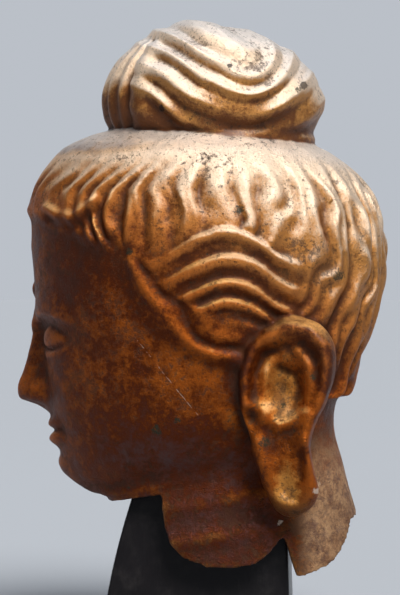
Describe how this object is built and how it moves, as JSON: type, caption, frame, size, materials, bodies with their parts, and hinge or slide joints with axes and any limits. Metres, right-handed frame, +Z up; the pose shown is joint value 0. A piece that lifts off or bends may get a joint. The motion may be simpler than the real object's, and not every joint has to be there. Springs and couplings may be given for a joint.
{
  "type": "bronze head sculpture",
  "caption": "Hollow cast bronze head of a serene figure with wavy hair, a topknot and long ears, broken off at the neck and held up on a dark tapered stand.",
  "frame": {"origin": "middle of the stand's flat foot", "axes": "+Z up, the face looks along -Y, the figure's left ear is on +X"},
  "size_m": [0.1729, 0.2299, 0.3951],
  "materials": {
    "gilt_bronze": "worn gilding over cast bronze, pitted, dark brown in the grooves, with specks of green patina",
    "black_stand": "black lacquer, smooth and glossy"
  },
  "bodies": {
    "root": {"bronze_head": "gilt_bronze", "stand": "black_stand"}
  },
  "joints": []
}
